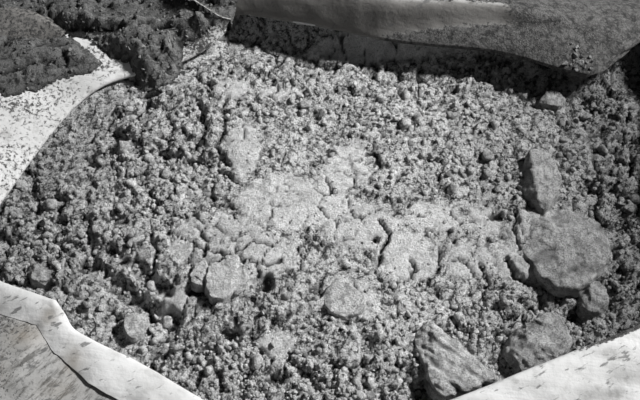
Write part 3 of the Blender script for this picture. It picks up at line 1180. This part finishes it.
def stone(name, corners, seed, cuts):
    """A small angular stone: the hull of scattered points, with its faces divided."""
    draws = np.random.default_rng(seed)
    spots = draws.normal(size=(corners, 3))
    spots /= np.linalg.norm(spots, axis=1, keepdims=True)
    spots *= draws.uniform(0.40, 0.56, (corners, 1))
    work = bmesh.new()
    verts = [work.verts.new(p) for p in spots]
    bmesh.ops.convex_hull(work, input=verts)
    loose = [v for v in work.verts if not v.link_faces]
    bmesh.ops.delete(work, geom=loose, context="VERTS")
    for _ in range(cuts):
        bmesh.ops.subdivide_edges(work, edges=work.edges, cuts=1, use_grid_fill=True)
        bmesh.ops.smooth_vert(work, verts=work.verts, factor=0.5, use_axis_x=True, use_axis_y=True, use_axis_z=True)
    bmesh.ops.recalc_face_normals(work, faces=work.faces)
    mesh = bpy.data.meshes.new(name)
    work.to_mesh(mesh)
    work.free()
    return bpy.data.objects.new(name, mesh)


def stone_set(label, corners, cuts, kinds=9):
    """A collection of different stones for a tree to choose from."""
    group = bpy.data.collections.new(label)
    for k in range(kinds):
        group.objects.link(stone(f"{label}_{k}", corners, 70 + k, cuts))
    return group


def crumb_tree(label, smooth, wave):
    """A tree that scatters stones over faces, as densely as a value on the faces says."""
    tree = bpy.data.node_groups.new(label, "GeometryNodeTree")
    face = tree.interface
    face.new_socket("Faces", in_out="INPUT", socket_type="NodeSocketGeometry")
    for socket, kind in (
        ("Where", "String"), ("Stones", "Collection"), ("Per square metre", "Float"), ("Spacing", "Float"),
        ("Smallest", "Float"), ("Largest", "Float"), ("Roughness", "Float"), ("Seed", "Int"), ("Finish", "Material"),
    ):
        face.new_socket(socket, in_out="INPUT", socket_type="NodeSocket" + kind)
    face.new_socket("Crumbs", in_out="OUTPUT", socket_type="NodeSocketGeometry")
    links = tree.links
    add = adder(tree)
    given, made = add("NodeGroupInput"), add("NodeGroupOutput")

    def random_number(low, high, seed, kind="FLOAT"):
        node = add("FunctionNodeRandomValue", data_type=kind)
        spots = [s for s in node.inputs if s.enabled]
        spots[0].default_value, spots[1].default_value = low, high
        shifted = add("ShaderNodeMath", {0: given.outputs["Seed"], 1: float(seed)}, operation="ADD")
        links.new(shifted.outputs[0], node.inputs["Seed"])
        return next(s for s in node.outputs if s.enabled)

    where = add("GeometryNodeInputNamedAttribute", {"Name": given.outputs["Where"]}, data_type="FLOAT")
    spread = add("GeometryNodeDistributePointsOnFaces", {
        "Mesh": given.outputs["Faces"], "Distance Min": given.outputs["Spacing"],
        "Density Max": given.outputs["Per square metre"], "Density Factor": where.outputs["Attribute"],
        "Seed": given.outputs["Seed"],
    }, distribute_method="POISSON")
    chance = add("ShaderNodeMath", {0: random_number(0.0, 1.0, 1), 1: 2.2}, operation="POWER")
    size = add("ShaderNodeMapRange", {
        "Value": chance.outputs[0], "To Min": given.outputs["Smallest"], "To Max": given.outputs["Largest"]})
    stretch = add("ShaderNodeVectorMath", {
        0: random_number((0.8, 0.8, 0.6), (1.35, 1.2, 1.0), 2, "FLOAT_VECTOR"), "Scale": size.outputs["Result"],
    }, operation="SCALE")
    kinds = add("GeometryNodeCollectionInfo", {
        "Collection": given.outputs["Stones"], "Separate Children": True, "Reset Children": True})
    laid = add("GeometryNodeInstanceOnPoints", {
        "Points": spread.outputs["Points"], "Instance": kinds.outputs["Instances"], "Pick Instance": True,
        "Scale": stretch.outputs["Vector"], "Rotation": random_number((0, 0, 0), (6.28, 6.28, 6.28), 3, "FLOAT_VECTOR"),
    })
    tint = add("GeometryNodeStoreNamedAttribute", {
        "Geometry": laid.outputs["Instances"], "Name": "tint", "Value": random_number(0.0, 1.0, 4),
    }, data_type="FLOAT", domain="INSTANCE")
    real = add("GeometryNodeRealizeInstances", {"Geometry": tint.outputs["Geometry"]})
    grit = add("ShaderNodeTexNoise", {"Scale": wave, "Detail": 1.0})
    centred = add("ShaderNodeVectorMath", {0: grit.outputs["Color"], 1: (0.5, 0.5, 0.5)}, operation="SUBTRACT")
    push = add("ShaderNodeVectorMath", {
        0: centred.outputs["Vector"], "Scale": given.outputs["Roughness"]}, operation="SCALE")
    moved = add("GeometryNodeSetPosition", {"Geometry": real.outputs["Geometry"], "Offset": push.outputs["Vector"]})
    shaded = add("GeometryNodeSetShadeSmooth", {"Geometry": moved.outputs["Geometry"], "Shade Smooth": smooth})
    finished = add("GeometryNodeSetMaterial", {
        "Geometry": shaded.outputs["Geometry"], "Material": given.outputs["Finish"]})
    links.new(finished.outputs["Geometry"], made.inputs["Crumbs"])
    return tree


def scatter(name, tree, sources, **inputs):
    """Runs a crumb tree on a copy of the sources' faces and keeps the result as a plain mesh."""
    work = bmesh.new()
    for source in sources:
        work.from_mesh(source.data)
    mesh = bpy.data.meshes.new(name + "_ground")
    work.to_mesh(mesh)
    work.free()
    ground = bpy.data.objects.new(name + "_ground", mesh)
    scene.collection.objects.link(ground)
    modifier = ground.modifiers.new("Crumbs", "NODES")
    modifier.node_group = tree
    for label, value in inputs.items():
        modifier[socket_named(tree, label.replace("_", " "))] = value
    result = bpy.data.meshes.new_from_object(ground.evaluated_get(bpy.context.evaluated_depsgraph_get()))
    bpy.data.objects.remove(ground)
    result.name = name
    piece = bpy.data.objects.new(name, result)
    scene.collection.objects.link(piece)
    return counted(piece)


# %% [markdown]
# ## Materials
#
# Cement has one finish in five shades, for the powder, the lumps, the heaps and two kinds of
# crumbs, and the paper has its own. They share two node groups. `grain` gives sand-like relief and
# a tone that varies from grain to grain, and `dusting` gives soft patches. Every pattern is placed
# by the object's own coordinates, so it stays on the piece wherever the camera goes.

# %% Node groups
def shader_group(name, inputs, outputs):
    """An empty shader group with named sockets."""
    tree = bpy.data.node_groups.new(name, "ShaderNodeTree")
    for label, value in inputs.items():
        tree.interface.new_socket(label, in_out="INPUT", socket_type="NodeSocketFloat").default_value = value
    for label in outputs:
        tree.interface.new_socket(label, in_out="OUTPUT", socket_type="NodeSocketFloat")
    return tree


def math_node(add, operation, first, second=0.0, clamp=False):
    return add("ShaderNodeMath", {0: first, 1: second}, operation=operation, use_clamp=clamp).outputs[0]


def times(add, first, second, clamp=False):
    return math_node(add, "MULTIPLY", first, second, clamp)


def plus(add, first, second, clamp=False):
    return math_node(add, "ADD", first, second, clamp)


def between(add, value, low, high, start=0.0, end=1.0):
    """The start where the value is low, the end where it is high, and an even run between them."""
    return add("ShaderNodeMapRange", {
        "Value": value, "From Min": low, "From Max": high, "To Min": start, "To Max": end}).outputs["Result"]


def noise(add, place, scale, detail, roughness=0.5):
    """Soft noise, `scale` hills to the metre."""
    return add("ShaderNodeTexNoise", {
        "Vector": place, "Scale": scale, "Detail": detail, "Roughness": roughness}).outputs["Fac"]


def object_place(add):
    return add("ShaderNodeTexCoord").outputs["Object"]


grain_group = shader_group("grain", {"Fine": 900.0, "Coarse": 420.0}, ("Tone", "Height", "Gap", "Damp"))
add = adder(grain_group)
given, made = add("NodeGroupInput"), add("NodeGroupOutput")
place = object_place(add)
sway = add("ShaderNodeTexNoise", {"Vector": place, "Scale": given.outputs["Fine"], "Detail": 2.0}).outputs["Color"]
sway = add("ShaderNodeVectorMath", {0: sway, "Scale": 1.2 * MM}, operation="SCALE").outputs["Vector"]
swayed = add("ShaderNodeVectorMath", {0: place, 1: sway}, operation="ADD").outputs["Vector"]
fine_noise = noise(add, place, given.outputs["Fine"], 5.0, 0.8)
coarse_noise = noise(add, place, 230.0, 3.0, 0.65)
grains, clots = (
    add("ShaderNodeTexVoronoi", {"Vector": swayed, "Scale": given.outputs[size], "Randomness": 1.0}).outputs["Distance"]
    for size in ("Fine", "Coarse"))
tone = plus(add, times(add, fine_noise, 0.6), times(add, coarse_noise, 0.4))
height = plus(add, times(add, grains, -0.3), times(add, clots, -0.35))
height = plus(add, height, times(add, fine_noise, 1.4))
wide_gap, small_gap = between(add, clots, 0.54, 0.70), between(add, grains, 0.56, 0.74)
gap = plus(add, times(add, wide_gap, 1.0), times(add, small_gap, 0.75))
gap = times(add, gap, between(add, coarse_noise, 0.40, 0.62, 1.0, 0.25), clamp=True)
across = add("ShaderNodeSeparateXYZ", {"Vector": place}).outputs["X"]
damp_left, damp_right = between(add, across, -0.18, -0.11, 0.45, 0.0), between(add, across, 0.02, 0.12, 0.0, 0.95)
damp = plus(add, damp_left, damp_right, clamp=True)
for label, result in (("Tone", tone), ("Height", height), ("Gap", gap), ("Damp", damp)):
    grain_group.links.new(result, made.inputs[label])

dusting_group = shader_group("dusting", {"Scale": 40.0, "Low": 0.4, "High": 0.65}, ("Mask",))
add = adder(dusting_group)
given, made = add("NodeGroupInput"), add("NodeGroupOutput")
cloud = noise(add, object_place(add), given.outputs["Scale"], 5.0, 0.6)
mask = between(add, cloud, given.outputs["Low"], given.outputs["High"])
dusting_group.links.new(mask, made.inputs["Mask"])
print("groups:", grain_group.name, dusting_group.name)

# %% Cement finishes
def blend(add, share, first, second, mode="MIX"):
    """The colour between two colours or sockets."""
    node = add("ShaderNodeMix", data_type="RGBA", blend_type=mode)
    for key, value in ((0, share), (6, first), (7, second)):
        if isinstance(value, bpy.types.NodeSocket):
            node.id_data.links.new(value, node.inputs[key])
        else:
            node.inputs[key].default_value = value if key == 0 else (*value, 1)
    return node.outputs[2]


def read_value(add, name):
    return add("ShaderNodeAttribute", attribute_name=name).outputs["Fac"]


def new_finish(name, roughness, specular):
    """A new material, its shader's inputs, and a way to add nodes to it."""
    material = bpy.data.materials.new(name)
    material.use_nodes = True
    wanted = material.node_tree.nodes["Principled BSDF"].inputs
    wanted["Roughness"].default_value = roughness
    wanted["Specular IOR Level"].default_value = specular
    return material, wanted, adder(material.node_tree)


def finish_with(material, wanted, add, colour, height, distance, strength):
    """Gives a material its colour and its relief."""
    relief = add("ShaderNodeBump", {"Height": height, "Distance": distance, "Strength": strength})
    material.node_tree.links.new(colour, wanted["Base Color"])
    material.node_tree.links.new(relief.outputs["Normal"], wanted["Normal"])
    return material


def cement_finish(name, dark, pale, tinted=False, bump=0.35, gaps=0.8, pores=0.5):
    """Dry cement: a grey that varies from grain to grain, paler where caked, dark in the gaps between
    the grains and in hollows, and duller towards the two ends of the mouth."""
    material, wanted, add = new_finish(name, 0.95, 0.2)
    grain = add("ShaderNodeGroup", {"Fine": 1150.0}, node_tree=grain_group).outputs
    dust = add("ShaderNodeGroup", {"Scale": 45.0}, node_tree=dusting_group).outputs["Mask"]
    colour = blend(add, between(add, grain["Tone"], 0.38, 0.60), dark, pale)
    gap = times(add, grain["Gap"], gaps)
    deep = tuple(0.18 * c for c in dark)
    dots = noise(add, object_place(add), 1500.0, 2.0, 0.6)
    colour = blend(add, between(add, dots, 0.56, 0.68, 0.0, pores), colour, deep)
    if tinted:
        tint = plus(add, times(add, read_value(add, "tint"), 0.5), 0.62)
        colour = blend(add, 1.0, colour, tint, "MULTIPLY")
    else:
        caked_here = read_value(add, "caked")
        colour = blend(add, times(add, caked_here, 0.3), colour, pale)
        gap = times(add, gap, math_node(add, "SUBTRACT", 1.0, times(add, caked_here, 0.8)))
        gap = math_node(add, "MAXIMUM", gap, read_value(add, "hollow"))
    colour = blend(add, times(add, dust, 0.2), colour, tuple(min(1, 1.1 * c) for c in pale))
    colour = blend(add, times(add, gap, 0.95), colour, deep)
    dull = math_node(add, "SUBTRACT", 1.0, times(add, grain["Damp"], 0.62))
    colour = blend(add, 1.0, colour, dull, "MULTIPLY")
    return finish_with(material, wanted, add, colour, grain["Height"], 1.1 * MM, bump)


def grey(value, blue):
    """A grey whose blue is a little weaker."""
    return value, value, blue


powder_finish = cement_finish("loose_powder", grey(0.36, 0.358), grey(0.92, 0.915), bump=1.0, gaps=1.15, pores=0.8)
lump_finish = cement_finish("caked_lump", grey(0.35, 0.348), grey(0.86, 0.855), bump=1.0, gaps=0.6, pores=0.8)
heap_finish = cement_finish("spilled_powder", grey(0.15, 0.148), grey(0.29, 0.286), bump=0.9)
crumb_finish = cement_finish("crumbs", grey(0.37, 0.368), grey(0.86, 0.855), tinted=True, bump=0.8, gaps=0.6)
heap_crumb_finish = cement_finish(
    "spilled_crumbs", grey(0.17, 0.168), grey(0.36, 0.356), tinted=True, bump=0.5, gaps=0.4)

# %% Paper finish
def slanted_noise(add, place, degrees, sizes_in_mm, detail, roughness):
    """Noise drawn out along a slanting direction of the sheet, with its hills so large each way."""
    turned = add("ShaderNodeMapping", {
        "Vector": place, "Rotation": (0, 0, math.radians(degrees)), "Scale": tuple(1 / s for s in sizes_in_mm),
    }, vector_type="TEXTURE")
    return noise(add, turned.outputs["Vector"], 1.0, detail, roughness)


def paper_finish():
    """Sack paper: white inside with smudges and specks, greyer and streaked outside; dark and smooth
    where it is soiled, covered with grains where it is dusty, brownish at stains."""
    material, wanted, add = new_finish("sack_paper_finish", 0.8, 0.25)
    place = object_place(add)
    grain = add("ShaderNodeGroup", node_tree=grain_group).outputs
    smudge, dab = (
        add("ShaderNodeGroup", {"Scale": scale, "Low": low, "High": high}, node_tree=dusting_group).outputs["Mask"]
        for scale, low, high in ((26.0, 0.46, 0.72), (120.0, 0.54, 0.74)))
    white = blend(add, times(add, smudge, 0.75), (0.71, 0.71, 0.705), (0.45, 0.45, 0.44))
    white = blend(add, times(add, dab, 0.65), white, (0.40, 0.395, 0.385))
    smear = times(add, read_value(add, "smear"), plus(add, dab, 0.75), clamp=True)
    white = blend(add, smear, white, (0.27, 0.268, 0.262))
    streaks = slanted_noise(add, place, 46, (90, 300, 90), 7.0, 0.75)
    outer = blend(add, smudge, (0.46, 0.455, 0.445), (0.26, 0.258, 0.25))
    outer = blend(add, between(add, streaks, 0.49, 0.61, 0.0, 0.85), outer, (0.085, 0.083, 0.078))
    soiled = blend(add, grain["Tone"], (0.13, 0.125, 0.118), (0.27, 0.262, 0.25))
    outer = blend(add, read_value(add, "soil"), outer, soiled)
    colour = blend(add, read_value(add, "inside"), outer, white)
    colour = blend(add, times(add, read_value(add, "stain"), 0.55), colour, (0.27, 0.23, 0.18))
    specks = slanted_noise(add, place, 24, (130, 360, 200), 3.0, 0.6)
    colour = blend(add, between(add, specks, 0.61, 0.68, 0.0, 0.8), colour, (0.13, 0.13, 0.128))
    flecks = between(add, noise(add, place, 560.0, 4.0, 0.75), 0.36, 0.64)
    cover = math_node(add, "SUBTRACT", times(add, read_value(add, "dusty"), 1.4), flecks)
    cover = times(add, cover, 3.0, clamp=True)
    dust = blend(add, between(add, grain["Tone"], 0.36, 0.64), (0.035, 0.034, 0.033), (0.205, 0.202, 0.198))
    dust = blend(add, times(add, grain["Gap"], 0.8), dust, (0.03, 0.03, 0.03))
    colour = blend(add, cover, colour, dust)
    wrinkles = noise(add, place, 70.0, 9.0, 0.62)
    pleats = slanted_noise(add, place, -8, (45, 330, 60), 2.0, 0.5)
    height = plus(add, wrinkles, times(add, pleats, 0.35))
    height = plus(add, height, times(add, times(add, grain["Height"], cover), 0.9))
    return finish_with(material, wanted, add, colour, height, 1.5 * MM, 0.7)


sack_finish = paper_finish()
floor_finish, wanted, _ = new_finish("pale_floor", 0.9, 0.5)
wanted["Base Color"].default_value = (0.72, 0.72, 0.71, 1)
floor.data.materials.append(floor_finish)

# %% Scatter the crumbs
small_stones, medium_stones, large_stones = (
    stone_set("grit_stones", 9, 0), stone_set("crumb_stones", 16, 0), stone_set("pebble_stones", 18, 1))
sharp_tree, blunt_tree = crumb_tree("sharp_crumbs", False, 420.0), crumb_tree("blunt_crumbs", True, 260.0)
SMALL = dict(Where="crumbly", Stones=small_stones, Finish=crumb_finish, Per_square_metre=210000.0,
             Spacing=1.1 * MM, Smallest=0.75 * MM, Largest=2.1 * MM, Roughness=0.5 * MM)
crumbs = {
    "crumbs_small": scatter("crumbs_small", sharp_tree, [powder], Seed=1, **SMALL),
    "crumbs_more": scatter("crumbs_more", sharp_tree, [powder], Seed=5, **SMALL),
    "crumbs_medium": scatter(
        "crumbs_medium", blunt_tree, [powder], Where="pebbly", Stones=medium_stones, Finish=crumb_finish,
        Per_square_metre=150000.0, Spacing=1.9 * MM, Smallest=1.5 * MM, Largest=4.6 * MM, Roughness=1.0 * MM, Seed=2),
    "crumbs_large": scatter(
        "crumbs_large", blunt_tree, [powder], Where="pebbly", Stones=large_stones, Finish=crumb_finish,
        Per_square_metre=14000.0, Spacing=5.0 * MM, Smallest=4.0 * MM, Largest=8.5 * MM, Roughness=2.6 * MM, Seed=3),
    "crumbs_on_paper": scatter(
        "crumbs_on_paper", sharp_tree, [sack], Where="clump", Stones=medium_stones, Finish=crumb_finish,
        Per_square_metre=500000.0, Spacing=1.1 * MM, Smallest=1.0 * MM, Largest=4.2 * MM, Roughness=1.0 * MM, Seed=6),
    "crumbs_spilled": scatter(
        "crumbs_spilled", sharp_tree, list(heaps.values()), Where="crumbly", Stones=small_stones,
        Finish=heap_crumb_finish, Per_square_metre=120000.0, Spacing=1.5 * MM, Smallest=1.0 * MM,
        Largest=3.0 * MM, Roughness=0.5 * MM, Seed=4),
}

# %% [markdown]
# ## Put it together
#
# Every piece rides on the one body and says which part of the model it stands for.

# %% Finishes, bodies and slots
sack.data.materials.append(sack_finish)
rolled_fold.data.materials.append(sack_finish)
powder.data.materials.append(powder_finish)
for piece in lumps.values():
    piece.data.materials.append(lump_finish)
for piece in heaps.values():
    piece.data.materials.append(heap_finish)
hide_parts("paper_sack")
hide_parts("cement_fill")
for name, piece in {**lumps, **heaps}.items():
    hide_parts(name)
for piece in [sack, rolled_fold, powder, *lumps.values(), *heaps.values(), *crumbs.values()]:
    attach(piece, "root")
total = sum(triangles_in(o) for o in scene.objects if o.type == "MESH" and not o.hide_render)
print("triangles in all:", total)
